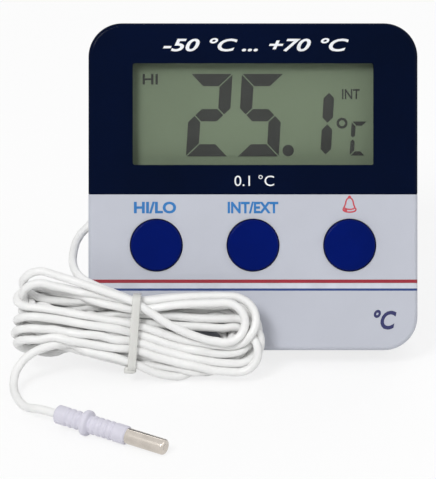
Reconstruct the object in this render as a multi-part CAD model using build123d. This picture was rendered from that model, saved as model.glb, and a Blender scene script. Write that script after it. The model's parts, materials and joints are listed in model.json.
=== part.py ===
from build123d import *
import os
from math import cos, radians, sin, tan

# Digital maximum and minimum thermometer with a wired probe, in millimetres and degrees.
# It is drawn upright in its housing frame: X to the right, the back face at Y 0, the front towards -Y
# and the bottom edge at Z 0. The last step leans it back onto its rear leg and drops it on the floor.

# Housing
case_width = 78.0
case_height = 77.5
corner_radius = 8.0
front_edge_radius = 1.0
rear_edge_radius = 1.2
wall = 1.8
rear_depth = 8.0
lean_angle = 22.0
rest_strip = 6.0
lip_height = 1.5
lip_thickness = 0.8
fit_gap = 0.15
overrun = 1.0  # how far a cut reaches past the surface it opens

# Display
panel_bottom = 36.9
panel_thickness = 2.6
panel_groove = 0.25
window_width = 57.0
window_height = 24.1
window_centre_z = 55.95
window_ledge = 2.0
window_thickness = 1.2
window_corner = 0.5
glass_thickness = 1.1
ink_thickness = 0.1
display_wall = 1.6
foam_thickness = 0.8
foam_size = (48.0, 6.0)
zebra_size = (54.0, 2.0)
zebra_height = 2.0

# Digits on the display
digit_slant = 3.4
digit_bottom = 46.0
digit_height = 19.6
digit_width = 9.9
digit_stroke = 2.9
segment_gap = 0.2
tens_left = -15.9
ones_left = -3.75
point_centre = (8.4, 47.4)
point_radius = 1.35
tenths_centre = 17.25
tenths_bottom = 46.3
tenths_height = 15.0
tenths_stroke = 2.5
degree_centre = (21.2, 53.9)
degree_radius = 1.3
degree_ring = 0.6
unit_left = 23.0
unit_bottom = 46.2
unit_size = (3.7, 8.1)
unit_stroke = 1.0

# Buttons
button_pitch = 22.9
button_z = 24.9
button_radius = 6.05
button_gap = 0.25
button_proud = 0.8
button_travel = 0.6
button_flange = 0.9
button_flange_thickness = 0.8
button_flange_gap = 0.1
button_edge = 0.45
stem_radius = 1.5
stem_length = 0.35
switch_size = 6.0
switch_height = 3.0
switch_corner = 0.5
plunger_radius = 1.6
plunger_depth = 1.0
plunger_gap = 0.1
plunger_spare = 0.3

# Circuit board
board_width = 59.0
board_bottom = 4.5
board_top = 54.0
board_thickness = 1.0
board_corner = 1.5
board_post_radius = 2.0
board_screw_radius = 0.75
board_screw_length = 3.6
board_head_height = 1.0
board_head_recess = 0.6
screw_hole_spare = 0.2
board_post_x = 26.5
board_post_z = (10.0, 38.8)
blob_radius = 5.0
blob_height = 1.3
blob_centre = (-4.0, 20.0)
chip_rows = 3
chip_columns = 4
chip_start = (6.0, 14.0)
chip_pitch = (4.2, 5.5)
chip_size = (2.0, 1.25, 0.6)
crystal_radius = 1.0
crystal_length = 6.0
crystal_rounding = 0.2
buzzer_radius = 6.0
buzzer_height = 6.0
buzzer_centre = (-22.5, 27.0)
buzzer_rounding = 0.5
buzzer_port = (1.0, 1.5)
sound_hole_radius = 0.7
sound_hole_ring = 2.8
sensor_centre = (24.0, 9.0)
sensor_bead = 1.2
sensor_reach = 5.0
sensor_lead = 0.25

# Unit slide switch on the back
unit_switch_centre = (23.0, 34.0)
unit_switch_size = (9.0, 4.4)
unit_switch_height = 4.0
unit_travel = 2.5
unit_groove_depth = 1.5
slider_size = (3.0, 1.4)
slider_recess = 0.7
slider_ribs = (-0.8, 0.0, 0.8)
slider_rib_half = 0.15
slider_rib_depth = 0.3
slot_gap = 0.3

# Battery, its bay and door
cell_radius = 5.25
cell_length = 44.5
cell_nub = (1.9, 0.8)
cell_rounding = 0.6
cell_centre_z = 66.0
bay_half_width = 24.6
bay_wall = 1.0
bay_front_wall = 0.8
bay_front_gap = 0.35
bay_back_gap = 0.25
contact_thickness = 0.4
contact_gap = 0.3
contact_dome = 2.85
spring_coils = 3
spring_wire = 0.45
spring_radius = 2.9
spring_taper = 0.4
wire_radius = 0.5
wire_x = 20.0
wire_on_board = 3.0
door_half_width = 26.0
door_bottom = 57.0
door_thickness = 1.4
door_lip = 1.2
door_lip_thickness = 0.5
door_gap = 0.15
door_back_gap = 0.1
door_travel = 22.0
door_grip = (18.0, 8.0, 0.6)
door_grip_rise = 6.5
door_ribs = 5
door_rib_pitch = 1.6
door_rib_half_width = 4.5
door_rib_half = 0.3
door_rib_recess = 0.05

# Rear leg
hinge_z = 41.0
hinge_depth = 1.9
barrel_radius = 1.7
pin_radius = 0.75
pin_running_gap = 0.05
pin_press_gap = 0.01
leg_half_width = 13.8
leg_thickness = 2.2
leg_open_angle = 42.0
leg_heel = 2.4
leg_corner = 3.0
leg_border = 3.0
leg_relief = 0.6
recess_gap = 0.5
recess_depth = 3.9
recess_floor = 1.4
ear_width = 3.5

# Hanging keyhole
keyhole_z = 49.5
keyhole_radius = 3.2
keyhole_slot_radius = 1.7
keyhole_rise = 3.5

# Vents beside the room sensor
vent_count = 4
vent_size = (10.0, 1.2)
vent_pitch = 2.6
vent_start = (24.0, 6.6)

# Screws
case_post_radius = 2.6
case_post_gap = 0.25
case_post_rise = 8.0
case_screw_radius = 1.1
case_screw_length = 9.0
case_head_radius = 2.1
case_head_height = 1.6
case_head_seat = 3.0
case_head_rounding = 0.4
case_head_recess = 0.8
screw_gap = 0.05
head_gap = 0.2

# Probe cord
cord_diameter = 2.0
gland_z = 30.5
gland_radius = 2.4
gland_flange_radius = 3.2
gland_flange_thickness = 0.8
gland_length_inside = 1.0
gland_exit_drop = 0.5
gland_bore_angle = 35.0
gland_bore_gap = 0.05

# Hank: two lobes and the neck where the tie pinches it, as circles in the plane of the face
hank_left = (-46.7, 9.7, 10.0)
hank_neck = (-27.9, 4.1, 8.6)
hank_right = (-7.6, 3.5, 10.0)
hank_face_gap = 1.3
hank_thickness = 6.8
hank_rounding = 2.5
tie_width = 1.9
tie_thickness = 0.9

# Probe: ribbed sleeve and metal tip, lying on the floor on the sleeve's collar
probe_start = (-45.1, -56.2, 3.6)
probe_heading = -30.3
probe_pitch = 3.3
sleeve_length = 19.1
sleeve_radius = 2.2
sleeve_groove = 0.3
sleeve_rib_pitch = 1.5
sleeve_band = 2.6
collar_centre = 8.1
collar_radius = 3.1
collar_width = 1.9
tip_radius = 1.85
tip_length = 9.9
tip_seat = 5.0
tip_wall = 0.4
tip_rounding = 0.9
tip_end_wall = 1.0
bead_bore_length = 3.5
bead_radius = 1.1
bead_length = 2.8
bead_gap = (0.1, 0.2)

# Route of the cord's centreline outside its hank, in the leaning frame, chosen by hand
lead_route = [
    (-35.7, -1.0, 30.9),
    (-41.4, -2.5, 27.2),
    (-43.0, -7.0, 23.5),
    (-42.8, -13.5, 22.2),
    (-40.8, -18.4, 21.4),
    (-37.0, -21.5, 20.7),
]
tail_route = [
    (-43.5, -28.7, 9.4),
    (-48.1, -30.5, 9.3),
    (-52.4, -31.6, 7.9),
    (-55.6, -33.8, 5.0),
    (-56.3, -37.8, 2.1),
    (-54.9, -42.6, 1.0),
    (-53.1, -47.0, 1.2),
    (-51.3, -51.0, 2.6),
    (-48.9, -54.0, 3.8),
    probe_start,
]

# Places that follow from the sizes above. The depth is a battery behind a display.
rear_wall_face = -wall
split_y = -rear_depth
cell_y = -door_thickness - bay_back_gap - cell_radius
bay_front = cell_y - cell_radius - bay_front_gap
bay_half_height = cell_radius + bay_front_gap
display_depth = panel_thickness + 2 * glass_thickness + ink_thickness
case_depth = display_depth + foam_thickness + bay_front_wall - bay_front
front_y = -case_depth
panel_back = front_y + panel_thickness
display_back = panel_back + display_wall
ink_front = panel_back + glass_thickness
ink_back = ink_front + ink_thickness
glass_back = ink_back + glass_thickness
board_front = glass_back + zebra_height
board_back = board_front + board_thickness
glass_width = window_width + 2 * window_ledge
glass_height = window_height + 2 * window_ledge
recess_top = hinge_z + barrel_radius + 2 * recess_gap + leg_heel - barrel_radius / 2
hinge_y = -hinge_depth
case_post_inset = wall + fit_gap + lip_thickness + case_post_gap + case_post_radius
case_post_x = case_width / 2 - case_post_inset
case_post_z = (case_post_rise, case_height - case_post_rise)
probe_end = sleeve_length + tip_length
case_screw_end = -case_head_seat - case_screw_length
board_screw_end = board_back - board_screw_length
lift = rest_strip * sin(radians(lean_angle)) * cos(radians(lean_angle))


# ---------------------------------------------------------------- helpers

def slab(sketch, y_front, y_back):
    """A solid with the outline of an X-Z sketch, from y_front to y_back."""
    return extrude(Plane.XZ.offset(-y_back) * sketch, amount=y_back - y_front)


def block(x_low, x_high, y_front, y_back, z_low, z_high):
    """A rectangular solid between two corners."""
    rectangle = Pos((x_low + x_high) / 2, (z_low + z_high) / 2) * Rectangle(x_high - x_low, z_high - z_low)
    return slab(rectangle, y_front, y_back)


def rod(radius, x, z, y_front, y_back):
    """A round solid along Y."""
    return slab(Pos(x, z) * Circle(radius), y_front, y_back)


def cross_rod(radius, y, z, x_low, x_high):
    """A round solid along X."""
    return extrude(Plane.YZ.offset(x_low) * Pos(y, z) * Circle(radius), amount=x_high - x_low)


def outline(inset=0.0):
    """The housing's rounded outline, or that outline drawn in by an inset."""
    face = RectangleRounded(case_width - 2 * inset, case_height - 2 * inset, corner_radius - inset)
    return Pos(0, case_height / 2) * face


def outer_block():
    """The whole housing as one solid, with its front and rear edges rounded."""
    solid = slab(outline(), front_y, 0)
    solid = fillet(solid.faces().sort_by(Axis.Y)[0].edges(), front_edge_radius)
    return fillet(solid.faces().sort_by(Axis.Y)[-1].edges(), rear_edge_radius)


def band(y_front, y_back, z_low):
    """Everything of the housing from y_front to y_back above z_low."""
    return block(-case_width, case_width, y_front, y_back, z_low, case_height + overrun)


def both_sides(values):
    """Each value once on the left and once on the right."""
    return [side * value for value in values for side in (-1, 1)]


def case_posts():
    """Places of the four screws that hold the shells together."""
    return [(x, z) for z in case_post_z for x in both_sides([case_post_x])]


def board_posts():
    """Places of the four screws that hold the circuit board."""
    return [(x, z) for z in board_post_z for x in both_sides([board_post_x])]


def post_root(z):
    """Y at the middle of the front wall that a post at height z stands on."""
    if z > panel_bottom:
        return panel_back + display_wall / 2
    return front_y + wall / 2


def button_places():
    """X of the left, middle and right button."""
    return {"left": -button_pitch, "middle": 0.0, "right": button_pitch}


def above_floor(solid):
    """Cut away what would reach below the surface that the leaning housing stands on."""
    size = 4 * case_height
    floor = Rot(lean_angle, 0, 0) * Pos(0, 0, lift - size / 2) * Box(size, size, size)
    return solid - floor


# ---------------------------------------------------------------- housing

def front_shell(outer):
    """Pale front half: face with button holes, display opening, posts for the board and the rear shell."""
    shell = outer & band(front_y - overrun, split_y, -overrun)
    shell -= band(front_y - overrun, panel_back, panel_bottom)
    inner = slab(outline(wall), front_y + wall, split_y + overrun)
    behind_panel = block(-case_width, case_width, front_y, display_back, panel_bottom - wall, case_height)
    shell -= inner - behind_panel
    for x, z in case_posts():
        shell += rod(case_post_radius, x, z, post_root(z), split_y)
    for x, z in board_posts():
        shell += rod(board_post_radius, x, z, post_root(z), board_front)
    shell -= slab(
        Pos(0, window_centre_z) * Rectangle(glass_width + 2 * fit_gap, glass_height + 2 * fit_gap),
        panel_back - overrun,
        display_back + overrun,
    )
    for x, z in case_posts():
        hole_end = case_screw_end - screw_hole_spare
        shell -= rod(case_screw_radius + screw_gap, x, z, hole_end, split_y + overrun)
    for x, z in board_posts():
        hole_end = board_screw_end - screw_hole_spare
        shell -= rod(board_screw_radius + screw_gap, x, z, hole_end, board_front + overrun)
    for x in button_places().values():
        shell -= rod(button_radius + button_gap, x, button_z, front_y - overrun, front_y + 2 * wall)
    return shell - gland_hole()


def rear_shell(outer):
    """Back half: battery bay, leg recess, keyhole, vents, sound holes, switch slot and resting strip."""
    shell = outer & band(split_y, overrun, -overrun)
    shell -= slab(outline(wall), split_y - overrun, rear_wall_face)
    seam = slab(outline(wall), split_y, split_y + lip_height)
    seam += slab(outline(wall + fit_gap), split_y - lip_height, split_y)
    shell += seam - slab(outline(wall + fit_gap + lip_thickness), split_y - 2 * lip_height, 0)
    ledge = slab(outline(wall / 2), split_y + lip_height, rear_wall_face)
    shell += ledge & block(-case_width, case_width, split_y, 0, 0, 2 * wall)
    for x, z in case_posts():
        shell += rod(case_post_radius, x, z, split_y, rear_wall_face / 2)
    shell += battery_bay_walls()
    shell += recess_walls()
    shell -= battery_bay_space()
    shell -= door_space()
    shell -= recess_space()
    for x, z in case_posts():
        shell -= rod(case_screw_radius + screw_gap, x, z, split_y - overrun, overrun)
        shell -= rod(case_head_radius + head_gap, x, z, -case_head_seat, overrun)
    shell -= keyhole()
    shell -= sound_holes()
    shell -= vents()
    slot_width = slider_size[0] + unit_travel + 2 * slot_gap
    slot = RectangleRounded(slot_width, slider_size[1] + 2 * slot_gap, slot_gap)
    shell -= slab(Pos(*unit_switch_centre) * slot, 2 * rear_wall_face, overrun)
    shell -= hinge_holes()
    shell -= gland_hole()
    return above_floor(shell)


def gland_hole():
    """The seat that the cord gland fills in the left side wall, half in each shell."""
    side = -case_width / 2
    hole = cross_rod(gland_radius, split_y, gland_z, side - overrun, side + 3 * wall)
    hole += cross_rod(gland_flange_radius, split_y, gland_z, side - overrun, side + gland_flange_thickness)
    hole += cross_rod(gland_flange_radius, split_y, gland_z, side + wall, side + 3 * wall)
    return hole


def battery_bay_walls():
    half = bay_half_width + bay_wall
    low = cell_centre_z - bay_half_height - bay_wall
    high = cell_centre_z + bay_half_height + bay_wall
    walls = block(-half, half, bay_front - bay_front_wall, -door_thickness, low, high)
    bed_half = door_half_width + 2 * door_lip
    walls += block(-bed_half, bed_half, -2 * door_thickness, -1, door_bottom - 1, case_height - wall / 2)
    return walls


def battery_bay_space():
    low = cell_centre_z - bay_half_height
    high = cell_centre_z + bay_half_height
    return block(-bay_half_width, bay_half_width, bay_front, overrun, low, high)


def door_space():
    """The open recess that the battery door slides in, with a hidden groove down each side."""
    half = door_half_width + door_gap
    low = door_bottom - door_gap
    high = case_height + overrun
    floor = -door_thickness - door_back_gap
    space = block(-half, half, floor, overrun, low, high)
    lip_half = half + door_lip
    lip_back = -door_thickness + door_lip_thickness + door_gap
    return space + block(-lip_half, lip_half, floor, lip_back, low, high)


def recess_walls():
    half = leg_half_width + recess_gap
    walls = block(-half - recess_floor, half + recess_floor, -recess_depth - recess_floor, -0.5, 0.5,
                  recess_top + recess_floor)
    for side in (-1, 1):
        x_low, x_high = sorted((side * half, side * (half + ear_width)))
        walls += block(x_low, x_high, -recess_depth - recess_floor, -0.5, hinge_z - 3, hinge_z + 3)
    return walls & slab(outline(wall / 2), -case_depth, 0)


def recess_space():
    half = leg_half_width + recess_gap
    return block(-half, half, -recess_depth, overrun, -overrun, recess_top)


def hinge_holes():
    half = leg_half_width + recess_gap + ear_width
    return cross_rod(pin_radius + pin_press_gap, hinge_y, hinge_z, -half + 0.5, half - 0.5)


def keyhole():
    """Round entry for a screw head, with a narrower slot above it."""
    hole = Pos(0, keyhole_z) * Circle(keyhole_radius)
    hole += Pos(0, keyhole_z + keyhole_rise) * Circle(keyhole_slot_radius)
    hole += Pos(0, keyhole_z + keyhole_rise / 2) * Rectangle(2 * keyhole_slot_radius, keyhole_rise)
    return slab(hole, -wall - overrun, overrun)


def sound_holes():
    """One hole and a ring of six over the buzzer."""
    holes = Pos(*buzzer_centre) * Circle(sound_hole_radius)
    holes += Pos(*buzzer_centre) * PolarLocations(sound_hole_ring, 6) * Circle(sound_hole_radius)
    return slab(holes, -wall - overrun, overrun)


def vents():
    """Slots that let room air reach the sensor."""
    x, z = vent_start
    slots = [Pos(x, z + row * vent_pitch) * SlotOverall(*vent_size) for row in range(vent_count)]
    return slab(Sketch() + slots, -wall - overrun, overrun)


def case_screws():
    """Four screws that go in from the back."""
    screws = []
    for x, z in case_posts():
        seat = -case_head_seat
        head = rod(case_head_radius, x, z, seat, seat + case_head_height)
        head = fillet(head.faces().sort_by(Axis.Y)[-1].edges(), case_head_rounding)
        head -= cross_recess(x, z, seat + case_head_height, case_head_radius, case_head_recess)
        screws.append(head + rod(case_screw_radius, x, z, case_screw_end, seat))
    return Part() + screws


def cross_recess(x, z, top, radius, depth):
    """The cross cut into a screw head whose top is at y = top."""
    arm = radius * 1.2
    cross = Rectangle(arm, radius * 0.24) + Rectangle(radius * 0.24, arm)
    return slab(Pos(x, z) * cross, top - depth, top + overrun)


# ---------------------------------------------------------------- display

def display_panel(outer):
    """Glossy dark plate over the upper front, with the display opening."""
    panel = outer & band(front_y - overrun, panel_back, panel_bottom)
    lower_edge = panel.faces().sort_by(Axis.Z)[0].edges().sort_by(Axis.Y)[0]
    panel = chamfer(lower_edge, panel_groove)
    opening = Pos(0, window_centre_z) * RectangleRounded(window_width, window_height, window_corner)
    panel -= slab(opening, front_y - overrun, panel_back + overrun)
    pocket = Pos(0, window_centre_z) * Rectangle(glass_width + fit_gap, glass_height + fit_gap)
    return panel - slab(pocket, panel_back - window_thickness, panel_back + overrun)


def display_plate(y_front, y_back):
    """One flat layer of the display, as large as the ledge round the opening allows."""
    return slab(Pos(0, window_centre_z) * Rectangle(glass_width, glass_height), y_front, y_back)


def post(x, z, length, stroke):
    """Corners of an upright segment from z to z + length, centred on x, with pointed ends."""
    half = stroke / 2
    gap = segment_gap
    return [
        (x, z + gap),
        (x + half, z + gap + half),
        (x + half, z + length - gap - half),
        (x, z + length - gap),
        (x - half, z + length - gap - half),
        (x - half, z + gap + half),
    ]


def digit(left, bottom, width, height, stroke, lit):
    """Lit segments of one seven-segment figure: a top, b and c right, d bottom, e and f left, g middle."""
    gap = segment_gap
    middle_x = left + width / 2
    middle_z = bottom + height / 2
    across = width / 2
    rise = height / 2
    half = stroke / 2
    level = [
        (-across + gap, rise),
        (across - gap, rise),
        (across - stroke - gap, rise - stroke),
        (-across + stroke + gap, rise - stroke),
    ]
    upright = [
        (across, rise - gap),
        (across - stroke, rise - stroke - gap),
        (across - stroke, half + gap),
        (across - half, gap),
        (across, half + gap),
    ]
    crossing = [
        (-across + half + gap, 0),
        (-across + stroke + gap, half),
        (across - stroke - gap, half),
        (across - half - gap, 0),
        (across - stroke - gap, -half),
        (-across + stroke + gap, -half),
    ]
    segments = {
        "a": level,
        "b": upright,
        "c": [(x, -z) for x, z in upright],
        "d": [(x, -z) for x, z in level],
        "e": [(-x, -z) for x, z in upright],
        "f": [(-x, z) for x, z in upright],
        "g": crossing,
    }
    return [[(middle_x + x, middle_z + z) for x, z in segments[name]] for name in lit]


def segment_plate(corners):
    """One segment as a thin plate, slanted to the right about the bottom line of the digits."""
    slant = tan(radians(digit_slant))
    slanted = [(x + (z - digit_bottom) * slant, z) for x, z in corners]
    return slab(make_face(Polyline(*slanted, close=True)), ink_front, ink_back)


def display_segments():
    """The dark figures of the display, each segment a thin plate between the two glasses."""
    figures = digit(tens_left, digit_bottom, digit_width, digit_height, digit_stroke, "abged")
    figures += digit(ones_left, digit_bottom, digit_width, digit_height, digit_stroke, "afgcd")
    for step in (0, 1):
        start = tenths_bottom + step * tenths_height / 2
        figures.append(post(tenths_centre, start, tenths_height / 2, tenths_stroke))
    figures += digit(unit_left, unit_bottom, *unit_size, unit_stroke, "adef")
    plates = [segment_plate(corners) for corners in figures]
    plates.append(slab(Pos(*point_centre) * Circle(point_radius), ink_front, ink_back))
    ring = Circle(degree_radius) - Circle(degree_radius - degree_ring)
    plates.append(slab(Pos(*degree_centre) * ring, ink_front, ink_back))
    return Part() + plates


def display_foam():
    return slab(Pos(0, cell_centre_z) * Rectangle(*foam_size), glass_back, glass_back + foam_thickness)


def zebra_strip():
    """Rubber connector between the lower edge of the display and the circuit board."""
    z = window_centre_z - glass_height / 2 + zebra_size[1]
    return slab(Pos(0, z) * Rectangle(*zebra_size), glass_back, board_front)


# ---------------------------------------------------------------- buttons

def button_cap(x):
    """Round domed cap with a flange that keeps it behind the face, and a stem onto its switch."""
    flange_front = front_y + wall + button_flange_gap
    flange_back = flange_front + button_flange_thickness
    cap = rod(button_radius, x, button_z, front_y - button_proud, flange_back)
    cap = fillet(cap.faces().sort_by(Axis.Y)[0].edges(), button_edge)
    cap += rod(button_radius + button_flange, x, button_z, flange_front, flange_back)
    return cap + rod(stem_radius, x, button_z, flange_back, plunger_front())


def plunger_front():
    """Y where a button's stem meets its switch."""
    return front_y + wall + button_flange_gap + button_flange_thickness + stem_length


def switch_plunger(x):
    """The moving pin of one push switch."""
    return rod(plunger_radius, x, button_z, plunger_front(), board_front - switch_height + plunger_depth)


def switch_body(x):
    half = switch_size / 2
    top = board_front - switch_height
    body = block(x - half, x + half, top, board_front, button_z - half, button_z + half)
    body = chamfer(body.edges().filter_by(Axis.Y), switch_corner)
    bore_depth = plunger_depth + button_travel + plunger_spare
    return body - rod(plunger_radius + plunger_gap, x, button_z, top - overrun, top + bore_depth)


# ---------------------------------------------------------------- electronics

def circuit_board():
    """Board behind the face, held by four screws and joined to the display by the zebra strip."""
    board = block(-board_width / 2, board_width / 2, board_front, board_back, board_bottom, board_top)
    board = fillet(board.edges().filter_by(Axis.Y), board_corner)
    for x, z in board_posts():
        board -= rod(board_screw_radius + head_gap, x, z, board_front - overrun, board_back + overrun)
    return board


def board_screws():
    screws = []
    for x, z in board_posts():
        top = board_back + board_head_height
        head = rod(2 * board_screw_radius, x, z, board_back, top)
        head -= cross_recess(x, z, top, 2 * board_screw_radius, board_head_recess)
        screws.append(head + rod(board_screw_radius, x, z, board_screw_end, board_back))
    return Part() + screws


def chip_blob():
    blob = rod(blob_radius, *blob_centre, board_back, board_back + blob_height)
    return fillet(blob.faces().sort_by(Axis.Y)[-1].edges(), blob_height * 0.9)


def board_parts():
    """Small resistors and capacitors on the back of the board."""
    parts = []
    length, width, height = chip_size
    for row in range(chip_rows):
        for column in range(chip_columns):
            x = chip_start[0] + chip_pitch[0] * column
            z = chip_start[1] + chip_pitch[1] * row
            parts.append(block(x, x + length, board_back, board_back + height, z, z + width))
    return Part() + parts


def crystal():
    """Watch crystal in its metal can, lying on the board."""
    x, z = blob_centre[0] - 2 * blob_radius, blob_centre[1]
    can = Pos(x, board_back + crystal_radius, z - crystal_length / 2) * Cylinder(
        crystal_radius, crystal_length, align=(Align.CENTER, Align.CENTER, Align.MIN)
    )
    return fillet(can.edges().filter_by(GeomType.CIRCLE), crystal_rounding)


def piezo_buzzer():
    top = board_back + buzzer_height
    port_radius, port_depth = buzzer_port
    body = rod(buzzer_radius, *buzzer_centre, board_back, top)
    body = fillet(body.faces().sort_by(Axis.Y)[-1].edges(), buzzer_rounding)
    return body - rod(port_radius, *buzzer_centre, top - port_depth, top + overrun)


def room_sensor():
    """Bead thermistor on two leads behind the vents."""
    x, z = sensor_centre
    bead_y = board_back + sensor_reach
    bead = Pos(x, bead_y, z) * Sphere(sensor_bead)
    for side in (-1, 1):
        bead += rod(sensor_lead, x + side * sensor_bead / 2, z, board_back, bead_y)
    return bead


def unit_switch_body():
    """Slide switch on the board, with the groove that its slider runs in."""
    x, z = unit_switch_centre
    half_width = unit_switch_size[0] / 2
    half_height = unit_switch_size[1] / 2
    top = board_back + unit_switch_height
    body = block(x - half_width, x + half_width, board_back, top, z - half_height, z + half_height)
    groove_half = (slider_size[0] + unit_travel) / 2 + slot_gap
    groove_z = slider_size[1] / 2 + fit_gap
    groove_floor = top - unit_groove_depth
    left = x - groove_half
    right = x + groove_half
    return body - block(left, right, groove_floor, top + overrun, z - groove_z, z + groove_z)


def unit_slider():
    """Slider at the left end of its travel."""
    x = unit_switch_centre[0] - unit_travel / 2
    z = unit_switch_centre[1]
    bottom = board_back + unit_switch_height - unit_groove_depth + plunger_gap
    half_width = slider_size[0] / 2
    half_height = slider_size[1] / 2
    slider = block(x - half_width, x + half_width, bottom, -slider_recess, z - half_height, z + half_height)
    floor = -slider_recess - slider_rib_depth
    for offset in slider_ribs:
        left = x + offset - slider_rib_half
        slider -= block(left, left + 2 * slider_rib_half, floor, 0, z - slider_size[1], z + slider_size[1])
    return slider


# ---------------------------------------------------------------- battery

def battery():
    """AAA cell lying across the back, positive end to the right."""
    nub_radius, nub_length = cell_nub
    can_end = cell_right() - nub_length
    can = cross_rod(cell_radius, cell_y, cell_centre_z, cell_left(), can_end)
    can = fillet(can.edges().filter_by(GeomType.CIRCLE), cell_rounding)
    return can + cross_rod(nub_radius, cell_y, cell_centre_z, can_end, cell_right())


def cell_left():
    return spring_ring_x(spring_coils - 1) + 1.1 * spring_wire


def cell_right():
    return cell_left() + cell_length


def spring_ring_x(turn):
    """X of one turn of the battery spring, counted from its plate."""
    return -bay_half_width + contact_thickness + (0.8 + 1.5 * turn) * spring_wire


def contact_plate(x_low):
    """Sprung steel contact standing in one end of the bay."""
    low = cell_centre_z - bay_half_height + contact_gap
    high = cell_centre_z + bay_half_height - contact_gap
    front = bay_front + contact_gap
    return block(x_low, x_low + contact_thickness, front, -door_thickness - contact_gap, low, high)


def battery_spring():
    """Negative contact with its coil spring, pressed flat by the cell."""
    spring = contact_plate(-bay_half_width)
    for turn in range(spring_coils):
        ring = Torus(spring_radius - spring_taper * turn, spring_wire)
        spring += Pos(spring_ring_x(turn), cell_y, cell_centre_z) * Rot(0, 90, 0) * ring
    return spring


def battery_plate():
    """Positive contact with a pressed dome that meets the cell's nub."""
    plate_x = bay_half_width - contact_thickness
    dome = cross_rod(contact_dome, cell_y, cell_centre_z, cell_right(), plate_x)
    return contact_plate(plate_x) + dome


def battery_leads():
    """Two bare wires from the bay down to the back of the board."""
    leads = []
    top = cell_centre_z - bay_half_height - bay_wall
    for x in both_sides([wire_x]):
        lead = Pos(x, board_back + wire_radius, board_top - wire_on_board) * Cylinder(
            wire_radius, top - board_top + wire_on_board, align=(Align.CENTER, Align.CENTER, Align.MIN)
        )
        leads.append(lead)
    return Part() + leads


def battery_door(outer):
    """Cover that slides up and off the top edge, with grip ribs and a thin lip down each side."""
    half = door_half_width
    door = block(-half, half, -door_thickness, overrun, door_bottom, case_height + overrun)
    lip_half = door_half_width + door_lip
    lip_back = -door_thickness + door_lip_thickness
    lip_top = case_height - corner_radius / 2
    door += block(-lip_half, lip_half, -door_thickness, lip_back, door_bottom, lip_top)
    door &= outer
    grip_z = door_bottom + door_grip_rise
    grip_width, grip_height, grip_depth = door_grip
    door -= slab(Pos(0, grip_z) * SlotOverall(grip_width, grip_height), -grip_depth, overrun)
    for rib in range(door_ribs):
        low = grip_z + (rib - (door_ribs - 1) / 2) * door_rib_pitch - door_rib_half
        high = low + 2 * door_rib_half
        half = door_rib_half_width
        door += block(-half, half, -grip_depth - door_rib_recess, -door_rib_recess, low, high)
    return door


# ---------------------------------------------------------------- rear leg

def stand_leg():
    """Fold-out leg, drawn folded in and then swung out until its heel meets the recess."""
    reach = foot_reach() + 4
    half = leg_thickness / 2
    sheet = Pos(0, hinge_z - reach / 2) * Rectangle(2 * leg_half_width, reach)
    heel = Pos(0, hinge_z + leg_heel / 2) * Rectangle(2 * leg_half_width, leg_heel)
    leg = slab(sheet, hinge_y - half, hinge_y + half)
    leg += slab(heel, hinge_y - half, hinge_y + half)
    leg += cross_rod(barrel_radius, hinge_y, hinge_z, -leg_half_width, leg_half_width)
    panel_z = hinge_z - foot_reach() / 2
    panel = RectangleRounded(2 * (leg_half_width - leg_border), foot_reach() - 4 * leg_border, leg_corner)
    leg -= slab(Pos(0, panel_z) * panel, hinge_y + half - leg_relief, hinge_y + 5)
    bore_half = leg_half_width + overrun
    leg -= cross_rod(pin_radius + pin_running_gap, hinge_y, hinge_z, -bore_half, bore_half)
    leg = Pos(0, hinge_y, hinge_z) * Rot(leg_open_angle, 0, 0) * Pos(0, -hinge_y, -hinge_z) * leg
    back_of_recess = block(-case_width, case_width, -case_depth, -recess_depth + 0.02, 0, case_height)
    return above_floor(leg - back_of_recess)


def foot_reach():
    """Length from the hinge to the floor along the opened leg."""
    angle = radians(lean_angle)
    hinge_height = hinge_z * cos(angle) - hinge_y * sin(angle) - lift
    return hinge_height / cos(radians(leg_open_angle - lean_angle))


def stand_pin():
    half = leg_half_width + recess_gap + ear_width - 0.5
    return cross_rod(pin_radius, hinge_y, hinge_z, -half, half)


# ---------------------------------------------------------------- cord gland

def gland_bore_axis():
    """Point where the cord leaves the left side wall, and its direction there."""
    angle = radians(gland_bore_angle)
    return (-case_width / 2, split_y, gland_z - gland_exit_drop), (-cos(angle), 0, -sin(angle))


def cord_gland():
    """Rubber bush in the side wall, with a flange on each side of the wall and a sloping bore."""
    side = -case_width / 2
    inner = side + wall + gland_length_inside
    gland = cross_rod(gland_radius, split_y, gland_z, side, inner)
    gland += cross_rod(gland_flange_radius, split_y, gland_z, side, side + gland_flange_thickness)
    gland += cross_rod(gland_flange_radius, split_y, gland_z, side + wall, inner)
    point, direction = gland_bore_axis()
    start = Plane(origin=point, z_dir=direction).offset(-3 * wall)
    return gland - extrude(start * Circle(cord_diameter / 2 + gland_bore_gap), amount=6 * wall)


# ---------------------------------------------------------------- cord and probe

def lobe(centre_x, centre_z, radius, growth):
    return Pos(centre_x, centre_z) * Circle(radius + growth)


def hank_shape(growth):
    """The bundle's closed outer shape, grown on every side by an amount."""
    neck = lobe(*hank_neck, growth)
    outline_sketch = make_hull([*lobe(*hank_left, growth).edges(), *neck.edges()])
    outline_sketch += make_hull([*neck.edges(), *lobe(*hank_right, growth).edges()])
    y_back = front_y - hank_face_gap + growth
    solid = slab(outline_sketch, y_back - hank_thickness - 2 * growth, y_back)
    rims = solid.faces().sort_by(Axis.Y)[0].edges() + solid.faces().sort_by(Axis.Y)[-1].edges()
    return fillet(rims, hank_rounding + growth)


def hank_tie():
    """Flat band round the neck of the hank."""
    x = hank_neck[0]
    band = hank_shape(tie_thickness) & block(
        x - tie_width / 2, x + tie_width / 2, 3 * front_y, front_y, -case_height, case_height
    )
    return band - hank_shape(0.0)


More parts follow.
